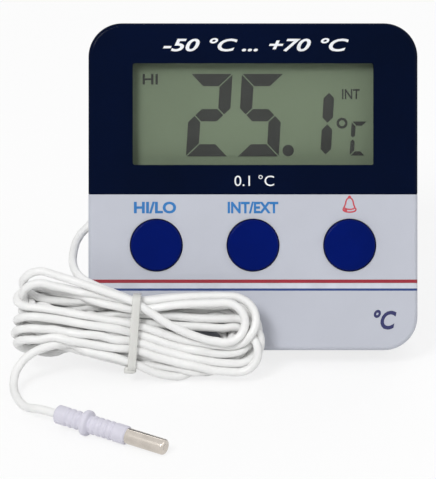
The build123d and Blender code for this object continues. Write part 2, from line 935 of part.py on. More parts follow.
def cord_tube(name, route):
    """Tube along straight runs joined by tangent arcs, each as large as its two runs allow."""
    points = [Vector(*point) for point in route]
    radii = []
    for before, at, after in zip(points, points[1:], points[2:]):
        half_turn = radians((at - before).get_angle(after - at)) / 2
        shorter = min((at - before).length, (after - at).length)
        radii.append(0.45 * shorter / tan(half_turn))
    path = FilletPolyline(*points, radius=radii)
    section = Plane(origin=path @ 0, z_dir=path % 0) * Circle(cord_diameter / 2)
    tube = sweep(section, path=path)
    print(name, "arc radii", [round(radius, 1) for radius in radii], "length", round(path.length, 1))
    print(name, "volume over section times length", round(tube.volume / (section.area * path.length), 4))
    return tube


def probe_plane():
    """Plane at the start of the probe, facing along it."""
    heading = radians(probe_heading)
    pitch = radians(probe_pitch)
    direction = (cos(pitch) * cos(heading), cos(pitch) * sin(heading), -sin(pitch))
    return Plane(origin=probe_start, x_dir=(0, 0, 1), z_dir=direction)


def turned(profile):
    """A solid of revolution about the probe's axis, from (radius, distance) corners."""
    face = make_face(Polyline(*[(radius, 0, distance) for radius, distance in profile], close=True))
    return probe_plane() * revolve(face, axis=Axis.Z)


def ring(radius, low, high):
    """A disc on the probe's axis, from low to high along it."""
    return turned([(0, low), (radius, low), (radius, high), (0, high)])


def probe_sleeve():
    """Soft sleeve with ribs on both sides of a wider collar, moulded over the end of the tip."""
    sleeve = ring(sleeve_radius - sleeve_groove, 0, sleeve_length)
    sleeve += ring(sleeve_radius, 0, sleeve_band)
    sleeve += ring(sleeve_radius, sleeve_length - sleeve_band, sleeve_length)
    sleeve += ring(collar_radius, collar_centre - collar_width / 2, collar_centre + collar_width / 2)
    for low, high in [(sleeve_band, collar_centre), (collar_centre, sleeve_length - sleeve_band)]:
        for rib in range(1, round((high - low) / sleeve_rib_pitch)):
            middle = low + rib * (high - low) / round((high - low) / sleeve_rib_pitch)
            sleeve += ring(sleeve_radius, middle - 0.3 * sleeve_rib_pitch, middle + 0.3 * sleeve_rib_pitch)
    return sleeve - ring(tip_radius - tip_wall, sleeve_length - tip_seat, sleeve_length + overrun)


def probe_tip():
    """Metal cap with a rounded end and a thinner tail that sits inside the sleeve."""
    end_centre = probe_plane().from_local_coords((0, 0, probe_end))
    tip = ring(tip_radius, sleeve_length, probe_end)
    rims = tip.edges().filter_by(GeomType.CIRCLE)
    tip = fillet(rims.sort_by_distance(end_centre)[0], tip_rounding)
    tip += ring(tip_radius - tip_wall, sleeve_length - tip_seat, sleeve_length)
    bore_end = probe_end - tip_end_wall
    return tip - ring(bead_radius + bead_gap[0], bore_end - bead_bore_length, bore_end)


def probe_bead():
    """The sensing bead potted in the tip."""
    end = probe_end - tip_end_wall - bead_gap[1]
    return ring(bead_radius, end - bead_length, end)


def build_housing_pieces():
    """Every piece in the housing frame, by node name."""
    outer = outer_block()
    pieces = {
        "front_shell": front_shell(outer),
        "rear_shell": rear_shell(outer),
        "case_screws": case_screws(),
        "display_panel": display_panel(outer),
        "display_window": display_plate(panel_back - window_thickness, panel_back),
        "display_glass": display_plate(panel_back, ink_front),
        "display_segments": display_segments(),
        "display_backing": display_plate(ink_back, glass_back),
        "display_foam": display_foam(),
        "zebra_strip": zebra_strip(),
        "circuit_board": circuit_board(),
        "board_screws": board_screws(),
        "chip_blob": chip_blob(),
        "board_parts": board_parts(),
        "crystal": crystal(),
        "piezo_buzzer": piezo_buzzer(),
        "room_sensor": room_sensor(),
        "unit_switch": unit_switch_body(),
        "unit_slider": unit_slider(),
        "battery": battery(),
        "battery_spring": battery_spring(),
        "battery_plate": battery_plate(),
        "battery_leads": battery_leads(),
        "battery_door": battery_door(outer),
        "stand_leg": stand_leg(),
        "stand_pin": stand_pin(),
        "cord_gland": cord_gland(),
    }
    for name, x in button_places().items():
        pieces["button_" + name] = button_cap(x)
        pieces["plunger_" + name] = switch_plunger(x)
        pieces["switch_" + name] = switch_body(x)
    return pieces


def build_cord_pieces():
    """Every piece of the probe's cord that is placed in the leaning frame."""
    return {
        "cord_lead": cord_tube("cord_lead", lead_route),
        "cord_tail": cord_tube("cord_tail", tail_route),
        "probe_sleeve": probe_sleeve(),
        "probe_tip": probe_tip(),
        "probe_bead": probe_bead(),
    }


os.makedirs("parts", exist_ok=True)
leaning = Pos(0, 0, -lift) * Rot(-lean_angle, 0, 0)
pieces = {name: leaning * piece for name, piece in build_housing_pieces().items()}
y_front = min(piece.bounding_box().min.Y for piece in pieces.values())
y_back = max(piece.bounding_box().max.Y for piece in pieces.values())
centring = Pos(0, -(y_front + y_back) / 2, 0)
print("moved along y by", round(-(y_front + y_back) / 2, 3))
pieces = {name: centring * piece for name, piece in pieces.items()}
pieces["cord_hank"] = centring * leaning * hank_shape(0.0)
pieces["hank_tie"] = centring * leaning * hank_tie()
pieces.update(build_cord_pieces())
for name, piece in pieces.items():
    export_step(piece, f"parts/{name}.step")
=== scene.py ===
import json
import random
from math import cos, pi, radians, sin, tan

import bmesh
import bpy
import numpy as np
from mathutils import Matrix, Vector


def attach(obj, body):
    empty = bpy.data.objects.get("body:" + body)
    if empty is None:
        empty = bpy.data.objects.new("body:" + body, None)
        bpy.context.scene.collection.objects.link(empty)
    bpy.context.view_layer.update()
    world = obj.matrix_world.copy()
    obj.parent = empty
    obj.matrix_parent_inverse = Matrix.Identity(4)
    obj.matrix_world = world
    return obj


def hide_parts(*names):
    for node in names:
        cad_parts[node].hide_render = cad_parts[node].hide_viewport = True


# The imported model. Its buttons travel straight into the leaning face and its battery door slides
# straight up it. Those two directions, the face's depth and its lower edge make the frame in which
# most places are given, as (across, up, out) in millimetres.
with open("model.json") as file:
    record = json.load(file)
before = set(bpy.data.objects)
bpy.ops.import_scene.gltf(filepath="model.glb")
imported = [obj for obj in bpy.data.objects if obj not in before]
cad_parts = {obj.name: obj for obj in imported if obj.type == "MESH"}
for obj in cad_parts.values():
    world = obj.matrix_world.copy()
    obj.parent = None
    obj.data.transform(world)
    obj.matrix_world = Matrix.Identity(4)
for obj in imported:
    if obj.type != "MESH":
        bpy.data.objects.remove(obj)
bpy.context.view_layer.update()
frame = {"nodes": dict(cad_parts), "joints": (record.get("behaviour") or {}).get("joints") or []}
nodes = frame["nodes"]
travel = {joint["name"]: Vector(joint["axis"]).normalized() for joint in frame["joints"]}
across = Vector((1.0, 0.0, 0.0))
upward = travel["door_slide"]
inward = travel["press_middle"]
MM = 0.001


def reach(node, direction):
    """Nearest and furthest vertex of a CAD node along a direction."""
    along = [vertex.co.dot(direction) for vertex in nodes[node].data.vertices]
    return min(along), max(along)


lower_edge = reach("front_shell", upward)[0]
face_depth = reach("display_panel", inward)[0]
face = Matrix((across, upward, -inward)).transposed().to_4x4()
face.translation = inward * face_depth + upward * lower_edge


# ---------------------------------------------------------------- camera
# A long lens that looks square at the face. The housing stands in the upper right of the view, with
# room on the left and below for the cord.
view_distance = 900.0
view_span = 113.43
view_centre = (-8.29, 26.24)

camera_data = bpy.data.cameras.new("camera")
camera_data.sensor_width = 36.0
camera_data.lens = camera_data.sensor_width * view_distance / view_span
camera_data.clip_start = 0.05
camera_data.clip_end = 10.0
camera = bpy.data.objects.new("camera", camera_data)
bpy.context.scene.collection.objects.link(camera)
camera.matrix_world = face @ Matrix.Translation(Vector((*view_centre, view_distance)) * MM)
bpy.context.scene.camera = camera


# ---------------------------------------------------------------- probe cord
# A limp two-core cord with a white jacket. It leaves the left side wall, is wound into a hank of
# fourteen turns that leans on the face, and runs on along the table to the probe. The tie pinches
# the turns at the neck, and from there they fan out into a left and a right lobe.
cord_radius = 1.0 * MM
lead_route = [
    (-0.0357, -0.0010, 0.0309),
    (-0.0414, -0.0025, 0.0272),
    (-0.0430, -0.0070, 0.0235),
    (-0.0428, -0.0135, 0.0222),
    (-0.0408, -0.0184, 0.0214),
    (-0.0370, -0.0215, 0.0207),
]
tail_route = [
    (-0.0435, -0.0287, 0.0094),
    (-0.0481, -0.0305, 0.0093),
    (-0.0524, -0.0316, 0.0079),
    (-0.0556, -0.0338, 0.0050),
    (-0.0563, -0.0378, 0.0021),
    (-0.0549, -0.0426, 0.0010),
    (-0.0531, -0.0470, 0.0012),
    (-0.0513, -0.0510, 0.0026),
    (-0.0489, -0.0540, 0.0038),
    (-0.0451, -0.0562, 0.0036),
]
neck_x = -27.9
neck_top = 11.7
row_pitch = 2.05
layer_back = 2.4
layer_pitch = 1.75
end_points = 6
run_shares = (0.0, 0.2, 0.4, 0.6, 0.8)
looseness = 0.22
late_bow = 2.5
end_tilt = 0.3

# One line for each turn, from the first wound to the last: (row, layer) in the neck of the strand
# that goes right and of the one that comes back, then (top, bottom, out, furthest x) of the loop.
right_loops = [
    ((0.0, 1), (7.2, 2), (12.4, -4.4, 4.2, 0.9)),
    ((1.0, 1), (6.2, 2), (11.0, -2.4, 3.4, -0.8)),
    ((2.0, 1), (5.2, 2), (9.6, -0.6, 3.6, -3.2)),
    ((3.0, 1), (4.2, 2), (8.8, 0.0, 4.0, -4.6)),
    ((1.4, 0), (4.0, 1), (11.4, 0.4, 2.2, -2.0)),
    ((2.4, 0), (5.0, 1), (10.0, -1.6, 2.2, -0.2)),
    ((3.4, 0), (6.0, 1), (8.4, -3.4, 2.3, -2.4)),
    ((4.4, 0), (7.0, 1), (6.6, -4.9, 2.6, -6.0)),
    ((0.1, 3), (2.7, 3), (12.9, 1.2, 6.8, 0.5)),
    ((0.95, 3.1), (0.0, 4.0), (11.3, 2.2, 8.7, -1.9)),
    ((0.4, 2), (3.6, 3), (10.8, -0.6, 5.4, 0.4)),
    ((1.4, 2), (4.5, 3), (7.6, -3.0, 5.8, 1.6)),
    ((2.4, 2), (5.4, 3), (5.4, -5.0, 6.2, 1.2)),
    ((3.4, 2), (7.1, 3), (3.4, -5.7, 4.6, -12.4)),
]
# One line for each left end, between two turns: (up, out) where the strand arrives and where it
# leaves, and the furthest x.
left_loops = [
    ((2.6, 3.0), (9.6, -4.4), -54.6),
    ((4.8, 3.6), (11.0, -4.8), -54.8),
    ((6.6, 3.4), (12.8, -4.4), -54.0),
    ((8.6, 3.6), (14.4, -4.2), -53.8),
    ((6.4, 1.8), (0.8, -6.0), -53.4),
    ((4.2, 1.8), (-0.4, -6.4), -53.8),
    ((10.4, 2.4), (5.2, -6.0), -53.2),
    ((8.4, -0.4), (15.8, 6.6), -54.8),
    ((10.2, 6.9), (14.6, -2.2), -55.0),
    ((19.0, 7.8), (12.0, 0.4), -54.2),
    ((8.2, 8.0), (6.6, -1.8), -55.6),
    ((5.5, 8.0), (3.5, -2.0), -55.9),
    ((2.7, 7.8), (1.2, -2.0), -55.7),
]
hand = random.Random(4)


def neck_point(row, layer):
    """(up, out) of a strand where the tie holds it."""
    return neck_top - row * row_pitch, layer_back + layer * layer_pitch


def run_points(inner, outer, outer_x):
    """Points of one strand from the neck towards the end of a lobe, on a gentle bow."""
    points = []
    on_right = outer_x > neck_x
    for share in run_shares:
        spread = sin(share * pi / 2) if on_right else share
        slack = hand.uniform(-looseness, looseness) * sin(share * pi)
        up = inner[0] + (outer[0] - inner[0]) * spread + slack
        out = inner[1] + (outer[1] - inner[1]) * (share if on_right else share ** late_bow)
        points.append((neck_x + (outer_x - neck_x) * share, up, out))
    return points


def lobe_turn(start, back, start_end, back_end, furthest):
    """One pass through a lobe: out from the neck, round its end on half a circle, and back."""
    middle = Vector(start_end).lerp(Vector(back_end), 0.5)
    half = (Vector(start_end) - Vector(back_end)) / 2
    side = 1.0 if furthest > neck_x else -1.0
    arc_x = furthest - side * half.length
    grow = 1.0 / cos(pi / (2 * end_points))
    points = run_points(start, start_end, arc_x)
    for step in range(end_points):
        turn = pi / 2 - pi * (step + 0.5) / end_points
        up, out = middle + half * grow * sin(turn)
        points.append((arc_x + side * half.length * grow * cos(turn), up, out))
    return points + run_points(back, back_end, arc_x)[:0:-1]


def wound_points():
    """Every turn of the hank in the order it was wound, in the face's millimetres."""
    points = []
    for index, (going, coming, (top, bottom, out, furthest)) in enumerate(right_loops):
        back = neck_point(*coming)
        ends = (top, out), (bottom, out + end_tilt)
        points += lobe_turn(neck_point(*going), back, *ends, furthest)
        if index < len(left_loops):
            following = neck_point(*right_loops[index + 1][0])
            points += lobe_turn(back, following, *left_loops[index])
    points.append((neck_x, *back))
    return points


def even_points(points, spacing):
    """Points at even distances along a line through the given ones."""
    points = np.array(points)
    steps = np.linalg.norm(np.diff(points, axis=0), axis=1)
    travelled = np.concatenate([[0.0], np.cumsum(steps)])
    count = round(travelled[-1] / spacing) + 1
    wanted = np.linspace(0.0, travelled[-1], count)
    return np.stack([np.interp(wanted, travelled, column) for column in points.T], axis=1)


# How the turns settle, in millimetres: the gap between points and the bend that is aimed at, then how
# strongly a point is drawn to where it was wound, eased and pushed, and how near the housing and
# the table it may come.
thickness = 2 * cord_radius / MM
point_spacing = 1.7
least_bend = 5.0
memory = 0.02
settling_rounds = 110
easing_passes = 6
easing_share = 0.5
push_share = 0.3
nearest_along = 2.5
face_foot = -0.5
face_clearance = 1.02
side_clearance = 40.05
table_clearance = 1.05
least_length = 1e-9


def lengths(vectors):
    """The length of each vector in an array, never quite nothing."""
    return np.linalg.norm(vectors, axis=-1, keepdims=True) + least_length


def settle(place, held, spacing):
    """Push the turns off each other, the housing and the table, and ease what bends too tightly."""
    wish = place.copy()
    order = np.arange(len(place))
    far_along = np.abs(order[:, None] - order[None]) * spacing > nearest_along * thickness
    rise = np.array(face.to_3x3().transposed() @ Vector((0.0, 0.0, 1.0)))
    base = face.translation.z / MM
    sagitta = spacing ** 2 / (2 * least_bend)
    for _ in range(settling_rounds):
        place += (wish - place) * memory
        for _ in range(easing_passes):
            bow = (place[:-2] + place[2:]) / 2 - place[1:-1]
            size = lengths(bow)
            excess = bow / size * np.maximum(size - sagitta, 0.0)
            place[1:-1] += excess * easing_share
            place[:-2] -= excess * (easing_share / 2)
            place[2:] -= excess * (easing_share / 2)
            place[held] = wish[held]
        gap = place[:, None] - place[None]
        distance = lengths(gap)
        overlap = np.where(far_along[..., None], np.maximum(thickness - distance, 0.0), 0.0)
        place += (gap / distance * overlap).sum(axis=1) * push_share
        for start in (0, 1):
            first, second = place[start:-1:2], place[start + 1::2]
            stretch = second - first
            shift = stretch * (0.5 * (1.0 - spacing / lengths(stretch)))
            first += shift
            second -= shift
        into_face = face_clearance - place[:, 2]
        past_side = place[:, 0] + side_clearance
        inside = (into_face > 0) & (past_side > 0) & (place[:, 1] > face_foot)
        sideways = inside & (past_side < into_face)
        place[sideways, 0] -= past_side[sideways]
        place[inside & ~sideways, 2] += into_face[inside & ~sideways]
        sunk = np.maximum(table_clearance - place @ rise - base, 0.0)
        place += sunk[:, None] * rise
        place[held] = wish[held]
    return place


def points_on(line):
    """How many evenly spaced points a route takes up."""
    return round(sum((b - a).length for a, b in zip(line, line[1:])) / point_spacing) + 1


to_face = face.inverted()
lead_line = [to_face @ Vector(point) / MM for point in lead_route]
tail_line = [to_face @ Vector(point) / MM for point in tail_route]
wound = even_points([*lead_line, *wound_points(), *tail_line], point_spacing)
held = np.zeros(len(wound), dtype=bool)
held[:points_on(lead_line)] = True
held[-points_on(tail_line):] = True
wound = settle(wound, held, point_spacing)
hank_line = wound[~held]
cord_points = [*lead_route, *(face @ (Vector(point) * MM) for point in hank_line), *tail_route]
cord_curve = bpy.data.curves.new("probe_cord", "CURVE")
cord_curve.dimensions = "3D"
cord_curve.resolution_u = 3
cord_spline = cord_curve.splines.new("NURBS")
cord_spline.points.add(len(cord_points) - 1)
for point, place in zip(cord_spline.points, cord_points):
    point.co = (*place, 1.0)
cord_spline.order_u = 3
cord_spline.use_endpoint_u = True
cord_curve.bevel_depth = cord_radius
cord_curve.bevel_resolution = 4
cord_curve.use_fill_caps = True


def add_node(tree, kind, **values):
    """A node with its sockets or its settings set by name."""
    node = tree.nodes.new(kind)
    for key, value in values.items():
        if key in node.inputs:
            node.inputs[key].default_value = value
        else:
            setattr(node, key, value)
    return node


def shader_group(name, inputs, outputs):
    """An empty shader group with number inputs and the outputs that are named."""
    group = bpy.data.node_groups.new(name, "ShaderNodeTree")
    for label, default in inputs.items():
        socket = group.interface.new_socket(label, in_out="INPUT", socket_type="NodeSocketFloat")
        socket.default_value = default
    for label, kind in outputs.items():
        group.interface.new_socket(label, in_out="OUTPUT", socket_type=kind)
    return group, add_node(group, "NodeGroupInput"), add_node(group, "NodeGroupOutput")


def make_surface_group():
    """Grain of a moulded or drawn surface: a mottle mask, an uneven gloss and a fine bump."""
    group, given, result = shader_group(
        "surface_grain",
        dict.fromkeys(("Mottle Scale", "Grain Scale", "Height", "Gloss", "Unevenness"), 0.0),
        {"Mask": "NodeSocketFloat", "Roughness": "NodeSocketFloat", "Normal": "NodeSocketVector"},
    )
    place = add_node(group, "ShaderNodeTexCoord")
    broad = add_node(group, "ShaderNodeTexNoise", Detail=4.0, Roughness=0.6)
    fine = add_node(group, "ShaderNodeTexNoise", Detail=3.0, Roughness=0.6)
    contrast = add_node(group, "ShaderNodeMapRange", **{"From Min": 0.35, "From Max": 0.65})
    centre = add_node(group, "ShaderNodeMath", operation="SUBTRACT")
    centre.inputs[1].default_value = 0.5
    gloss = add_node(group, "ShaderNodeMath", operation="MULTIPLY_ADD")
    bump = add_node(group, "ShaderNodeBump", Distance=0.0002)
    link = group.links.new
    link(place.outputs["Object"], broad.inputs["Vector"])
    link(place.outputs["Object"], fine.inputs["Vector"])
    link(given.outputs["Mottle Scale"], broad.inputs["Scale"])
    link(given.outputs["Grain Scale"], fine.inputs["Scale"])
    link(broad.outputs["Fac"], contrast.inputs["Value"])
    link(contrast.outputs["Result"], result.inputs["Mask"])
    link(broad.outputs["Fac"], centre.inputs[0])
    link(centre.outputs[0], gloss.inputs[0])
    link(given.outputs["Unevenness"], gloss.inputs[1])
    link(given.outputs["Gloss"], gloss.inputs[2])
    link(gloss.outputs[0], result.inputs["Roughness"])
    link(given.outputs["Height"], bump.inputs["Strength"])
    link(fine.outputs["Fac"], bump.inputs["Height"])
    link(bump.outputs["Normal"], result.inputs["Normal"])
    return group


surface_grain = make_surface_group()


def shade(red, green, blue, lighter=1.0):
    """A linear colour from display values of 0 to 255."""
    def linear(value):
        share = min(value * lighter, 255.0) / 255.0
        return share / 12.92 if share <= 0.04045 else ((share + 0.055) / 1.055) ** 2.4
    return (linear(red), linear(green), linear(blue), 1.0)


def surface(
    name, colour, worn=0.95, gloss=0.4, unevenness=0.08, mottle=60.0, grain=900.0, height=0.02,
    **sockets,
):
    """A finish of one colour that mottles towards a slightly darker one, with grain and gloss."""
    material = bpy.data.materials.new(name)
    material.use_nodes = True
    tree = material.node_tree
    principled = tree.nodes["Principled BSDF"]
    for label, value in sockets.items():
        principled.inputs[label.replace("_", " ")].default_value = value
    texture = add_node(tree, "ShaderNodeGroup", node_tree=surface_grain)
    given = {
        "Mottle Scale": mottle, "Grain Scale": grain, "Height": height, "Gloss": gloss,
        "Unevenness": unevenness,
    }
    for label, value in given.items():
        texture.inputs[label].default_value = value
    mix = add_node(tree, "ShaderNodeMix", data_type="RGBA")
    mix.inputs["A"].default_value = shade(*colour)
    mix.inputs["B"].default_value = shade(*colour, lighter=worn)
    link = tree.links.new
    link(texture.outputs["Mask"], mix.inputs["Factor"])
    link(mix.outputs["Result"], principled.inputs["Base Color"])
    link(texture.outputs["Roughness"], principled.inputs["Roughness"])
    link(texture.outputs["Normal"], principled.inputs["Normal"])
    return material


def add_piece(name, data, material, body="case"):
    """Link a finished piece, with its finish and the body that it rides on."""
    piece = bpy.data.objects.new(name, data)
    bpy.context.scene.collection.objects.link(piece)
    data.materials.clear()
    data.materials.append(material)
    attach(piece, body)
    return piece


cord_white = surface(
    "cord_white", (241, 241, 240), worn=0.97, gloss=0.4, mottle=90.0, grain=1500.0, height=0.03,
)
cord = add_piece("probe_cord", cord_curve, cord_white)
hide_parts("cord_lead", "cord_hank", "cord_tail")


# ---------------------------------------------------------------- hank tie
# A soft plastic strap pulled round the neck of the hank, leaning a little, with the head that locks
# it at the bottom. It follows the outermost strands.
tie_width = 1.95
tie_thickness = 0.8
tie_lean = radians(4.2)
tie_corner = 0.25
tie_arc_steps = 5
lock_length, lock_height, lock_depth = 2.9, 1.7, 2.6
lock_profile = ((-1.0, 0.55), (-0.8, 0.86), (-0.4, 1.0), (0.4, 1.0), (0.8, 0.86), (1.0, 0.55))
lock_corner = 0.5
lock_corner_steps = 3
lock_left = 0.35
lock_out = 1.2


def hull(points):
    """The corners of the tightest outline round some flat points, in order."""
    def half(ordered):
        chain = []
        for point in ordered:
            while len(chain) > 1 and (chain[-1] - chain[-2]).cross(point - chain[-2]) <= 0:
                chain.pop()
            chain.append(point)
        return chain[:-1]
    ordered = sorted((Vector(point) for point in points), key=lambda point: (point.x, point.y))
    return half(ordered) + half(ordered[::-1])


def offset_outline(corners, distance, steps):
    """The outline moved outwards by a distance, with a round corner at each point."""
    outline = []
    for index, corner in enumerate(corners):
        before = corner - corners[index - 1]
        after = corners[(index + 1) % len(corners)] - corner
        first = Vector((before.y, -before.x)).normalized()
        last = Vector((after.y, -after.x)).normalized()
        for step in range(steps + 1):
            outline.append(corner + first.slerp(last, step / steps, first) * distance)
    return outline


def rounded_box(half_width, half_height, corner, steps=2):
    """Points round a rectangle with rounded corners, in order."""
    points = []
    x_centre, y_centre = half_width - corner, half_height - corner
    for quarter, (x, y) in enumerate(((1, 1), (-1, 1), (-1, -1), (1, -1))):
        for step in range(steps + 1):
            turn = pi / 2 * (quarter + step / steps)
            points.append((x * x_centre + corner * cos(turn), y * y_centre + corner * sin(turn)))
    return points


def skin(name, rings, closed):
    """A closed mesh through rings of points; the ends are joined to each other or filled in."""
    count = len(rings[0])
    faces = []
    for index in range(len(rings) if closed else len(rings) - 1):
        here, there = index * count, (index + 1) % len(rings) * count
        for step in range(count):
            after = (step + 1) % count
            faces.append((here + step, here + after, there + after, there + step))
    if not closed:
        last = (len(rings) - 1) * count
        faces += [tuple(range(count))[::-1], tuple(range(last, last + count))]
    mesh = bpy.data.meshes.new(name)
    mesh.from_pydata([tuple(point) for ring in rings for point in ring], [], faces)
    shape = bmesh.new()
    shape.from_mesh(mesh)
    bmesh.ops.recalc_face_normals(shape, faces=shape.faces)
    shape.to_mesh(mesh)
    shape.free()
    mesh.shade_smooth()
    mesh.set_sharp_from_angle(angle=radians(38.0))
    return mesh


neck_places = []
for before, after in zip(hank_line, hank_line[1:]):
    if (before[0] - neck_x) * (after[0] - neck_x) <= 0:
        share = (neck_x - before[0]) / (after[0] - before[0])
        neck_places.append(tuple(before[1:] + (after[1:] - before[1:]) * share))
tie_line = offset_outline(hull(neck_places), cord_radius / MM + tie_thickness / 2, tie_arc_steps)
tie_middle = sum(up for up, out in neck_places) / len(neck_places)


def on_tie(side, up, out):
    """A point beside the leaning line of the tie."""
    return face @ (Vector((neck_x + side + (up - tie_middle) * tan(tie_lean), up, out)) * MM)


tie_section = rounded_box(tie_width / 2, tie_thickness / 2, tie_corner)
tie_rings = []
for index, place in enumerate(tie_line):
    along = (tie_line[(index + 1) % len(tie_line)] - tie_line[index - 1]).normalized()
    outwards = Vector((along.y, -along.x))
    tie_rings.append([on_tie(side, *(place + outwards * thick)) for side, thick in tie_section])
tie_mesh = skin("hank_tie", tie_rings, closed=True)
lock_foot = min(tie_line, key=lambda place: place.x)
lock_rings = []
for share, swell in lock_profile:
    side = share * lock_length / 2 - lock_left
    outline = rounded_box(
        lock_height / 2 * swell, lock_depth / 2 * swell, lock_corner * swell, lock_corner_steps,
    )
    lock_rings.append([
        on_tie(side, lock_foot.x + thick, lock_foot.y + lock_out + deep) for thick, deep in outline
    ])
lock_mesh = skin("tie_lock", lock_rings, closed=False)
tie_plastic = surface(
    "tie_plastic", (218, 218, 214), worn=0.97, gloss=0.45, grain=1200.0, height=0.03,
)
hank_tie = add_piece("hank_tie_strap", tie_mesh, tie_plastic)
tie_lock = add_piece("hank_tie_lock", lock_mesh, tie_plastic)
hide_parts("hank_tie")


# ---------------------------------------------------------------- probe sleeve
# A soft pale sleeve moulded over the end of the cord. Shallow rounded ribs run round it, with a
# plain band at each end and one taller collar.
probe_direction = Vector((0.86197, -0.50369, -0.05756)).normalized()
probe_start = Vector((-0.0451, -0.0562, 0.0036))


def growing_tree(name, labels):
    """A Geometry Nodes tree with sizes and a finish as inputs, its inputs, and sums inside it."""
    tree = bpy.data.node_groups.new(name, "GeometryNodeTree")
    for label in labels:
        tree.interface.new_socket(label, in_out="INPUT", socket_type="NodeSocketFloat")
    tree.interface.new_socket("Finish", in_out="INPUT", socket_type="NodeSocketMaterial")
    tree.interface.new_socket("Geometry", in_out="OUTPUT", socket_type="NodeSocketGeometry")

    def reckon(operation, *values, clamp=False):
        node = add_node(tree, "ShaderNodeMath", operation=operation, use_clamp=clamp)
        for socket, value in zip(node.inputs, values):
            if isinstance(value, float):
                socket.default_value = value
            else:
                tree.links.new(value, socket)
        return node.outputs[0]

    return tree, add_node(tree, "NodeGroupInput").outputs, reckon


def point_place(tree):
    """Where each point of the mesh lies, as x, y and z."""
    place = add_node(tree, "ShaderNodeSeparateXYZ")
    tree.links.new(add_node(tree, "GeometryNodeInputPosition").outputs[0], place.inputs[0])
    return place.outputs


def finish_tree(tree, mesh, places, finish):
    """Move the points to their reckoned places and end the tree with the piece's finish."""
    link = tree.links.new
    moved = add_node(tree, "ShaderNodeCombineXYZ")
    for value, socket in zip(places, moved.inputs):
        link(value, socket)
    laid = add_node(tree, "GeometryNodeSetPosition")
    link(mesh, laid.inputs["Geometry"])
    link(moved.outputs[0], laid.inputs["Position"])
    whole = add_node(tree, "GeometryNodeRealizeInstances")
    link(laid.outputs[0], whole.inputs[0])
    finished = add_node(tree, "GeometryNodeSetMaterial")
    link(whole.outputs[0], finished.inputs["Geometry"])
    link(finish, finished.inputs["Material"])
    link(finished.outputs[0], add_node(tree, "NodeGroupOutput").inputs[0])


def plain_mesh(carrier):
    """The plain mesh that an object's curve, letters or modifiers make. The object is removed."""
    bpy.context.scene.collection.objects.link(carrier)
    depsgraph = bpy.context.evaluated_depsgraph_get()
    mesh = bpy.data.meshes.new_from_object(carrier.evaluated_get(depsgraph))
    bpy.data.objects.remove(carrier)
    return mesh


def grown_mesh(tree, values):
    """The plain mesh that a Geometry Nodes tree makes with its named inputs set."""
    carrier = bpy.data.objects.new("carrier", bpy.data.meshes.new("carrier"))
    modifier = carrier.modifiers.new("grow", "NODES")
    modifier.node_group = tree
    for item in tree.interface.items_tree:
        if item.in_out == "INPUT" and item.name in values:
            modifier[item.identifier] = values[item.name]
    return plain_mesh(carrier)


sleeve_sides = 48
sleeve_rows = 190
rib_sharpness = 2.0
rib_fade = 0.4 * MM
collar_squareness = 4.0


def make_rib_tree():
    """A round sleeve along Z whose radius follows its ribs, its collar and its rounded ends."""
    tree, given, reckon = growing_tree("ribbed_sleeve", (
        "Length", "Radius", "Pitch", "Depth", "Band", "Collar At", "Collar Half", "Collar Height",
        "End Round",
    ))
    tube = add_node(
        tree, "GeometryNodeMeshCylinder",
        **{"Vertices": sleeve_sides, "Side Segments": sleeve_rows, "Radius": 1.0},
    )
    tree.links.new(given["Length"], tube.inputs["Depth"])
    place = point_place(tree)
    along = reckon("ADD", place["Z"], reckon("MULTIPLY", given["Length"], 0.5))
    to_end = reckon("MINIMUM", along, reckon("SUBTRACT", given["Length"], along))
    ribbed = reckon("DIVIDE", reckon("SUBTRACT", to_end, given["Band"]), rib_fade, clamp=True)
    turns = reckon("DIVIDE", reckon("SUBTRACT", along, given["Band"]), given["Pitch"])
    ripple = reckon("MULTIPLY_ADD", reckon("COSINE", reckon("MULTIPLY", turns, 2 * pi)), -0.5, 0.5)
    wave = reckon("POWER", ripple, rib_sharpness)
    groove = reckon("MULTIPLY", reckon("MULTIPLY", wave, ribbed), given["Depth"])
    from_collar = reckon("SUBTRACT", along, given["Collar At"])
    collar_share = reckon("ABSOLUTE", reckon("DIVIDE", from_collar, given["Collar Half"]))
    fall = reckon("POWER", collar_share, collar_squareness)
    collar = reckon("SUBTRACT", 1.0, fall, clamp=True)
    off_collar = reckon("SUBTRACT", 1.0, collar)
    closeness = reckon("SUBTRACT", 1.0, reckon("DIVIDE", to_end, given["End Round"]), clamp=True)
    rounding = reckon("MULTIPLY", reckon("POWER", closeness, 2.0), given["End Round"])
    radius = reckon("SUBTRACT", given["Radius"], reckon("MULTIPLY", groove, off_collar))
    radius = reckon("ADD", radius, reckon("MULTIPLY", collar, given["Collar Height"]))
    radius = reckon("SUBTRACT", radius, rounding)
    x, y = (reckon("MULTIPLY", place[side], radius) for side in "XY")
    finish_tree(tree, tube.outputs["Mesh"], (x, y, along), given["Finish"])
    return tree


def along_probe(start):
    """The placement of a piece that is built upwards from zero, at a distance along the probe."""
    turn = probe_direction.to_track_quat("Z", "Y").to_matrix().to_4x4()
    offset = probe_start + probe_direction * (start - probe_start.dot(probe_direction))
    return Matrix.Translation(offset) @ turn


